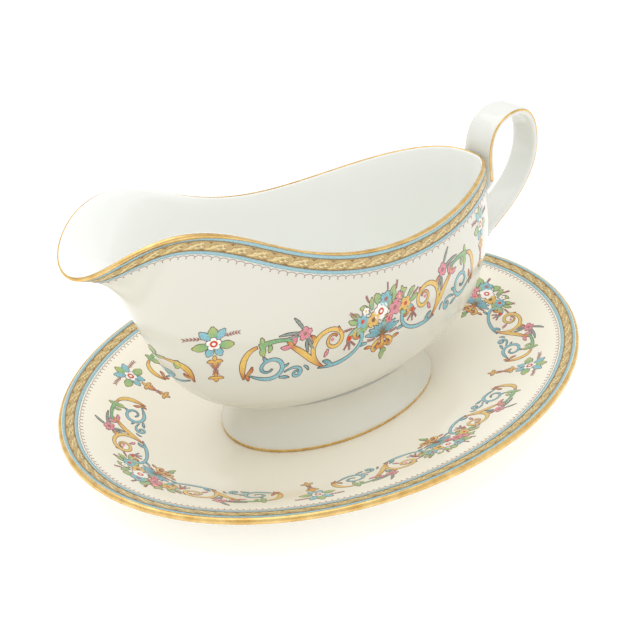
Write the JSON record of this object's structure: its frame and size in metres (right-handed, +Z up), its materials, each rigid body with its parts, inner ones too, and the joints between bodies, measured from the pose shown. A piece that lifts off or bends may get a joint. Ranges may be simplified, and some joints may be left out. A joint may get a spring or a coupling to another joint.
{
  "type": "gravy boat with stand",
  "caption": "Oval gravy boat with a pouring lip, strap handle and pedestal foot, standing loose on an oval underplate.",
  "frame": {"origin": "centre of the underplate's foot ring, on the table plane", "axes": "+X along the long axis towards the handle, +Z up, +Y to the left when looking along +X"},
  "size_m": [0.2393, 0.176, 0.1191],
  "materials": {
    "stand_glaze": "clear gloss glaze over cream bone china, gilt edge and printed enamel border",
    "foot_glaze": "clear gloss glaze with a gilt line at the bottom edge",
    "bowl_glaze": "clear gloss glaze, white inside, ivory outside with a gilt rim and printed enamel border",
    "handle_glaze": "clear gloss glaze with gilt lines along both edges"
  },
  "bodies": {
    "stand": {"underplate": "stand_glaze"},
    "boat": {"boat_bowl": "bowl_glaze", "boat_foot": "foot_glaze", "boat_handle": "handle_glaze"}
  },
  "joints": [
    {"name": "boat_lift", "type": "slide", "parent": "stand", "child": "boat", "axis": [0, 0, 1], "range_m": [0, 0.12]}
  ]
}
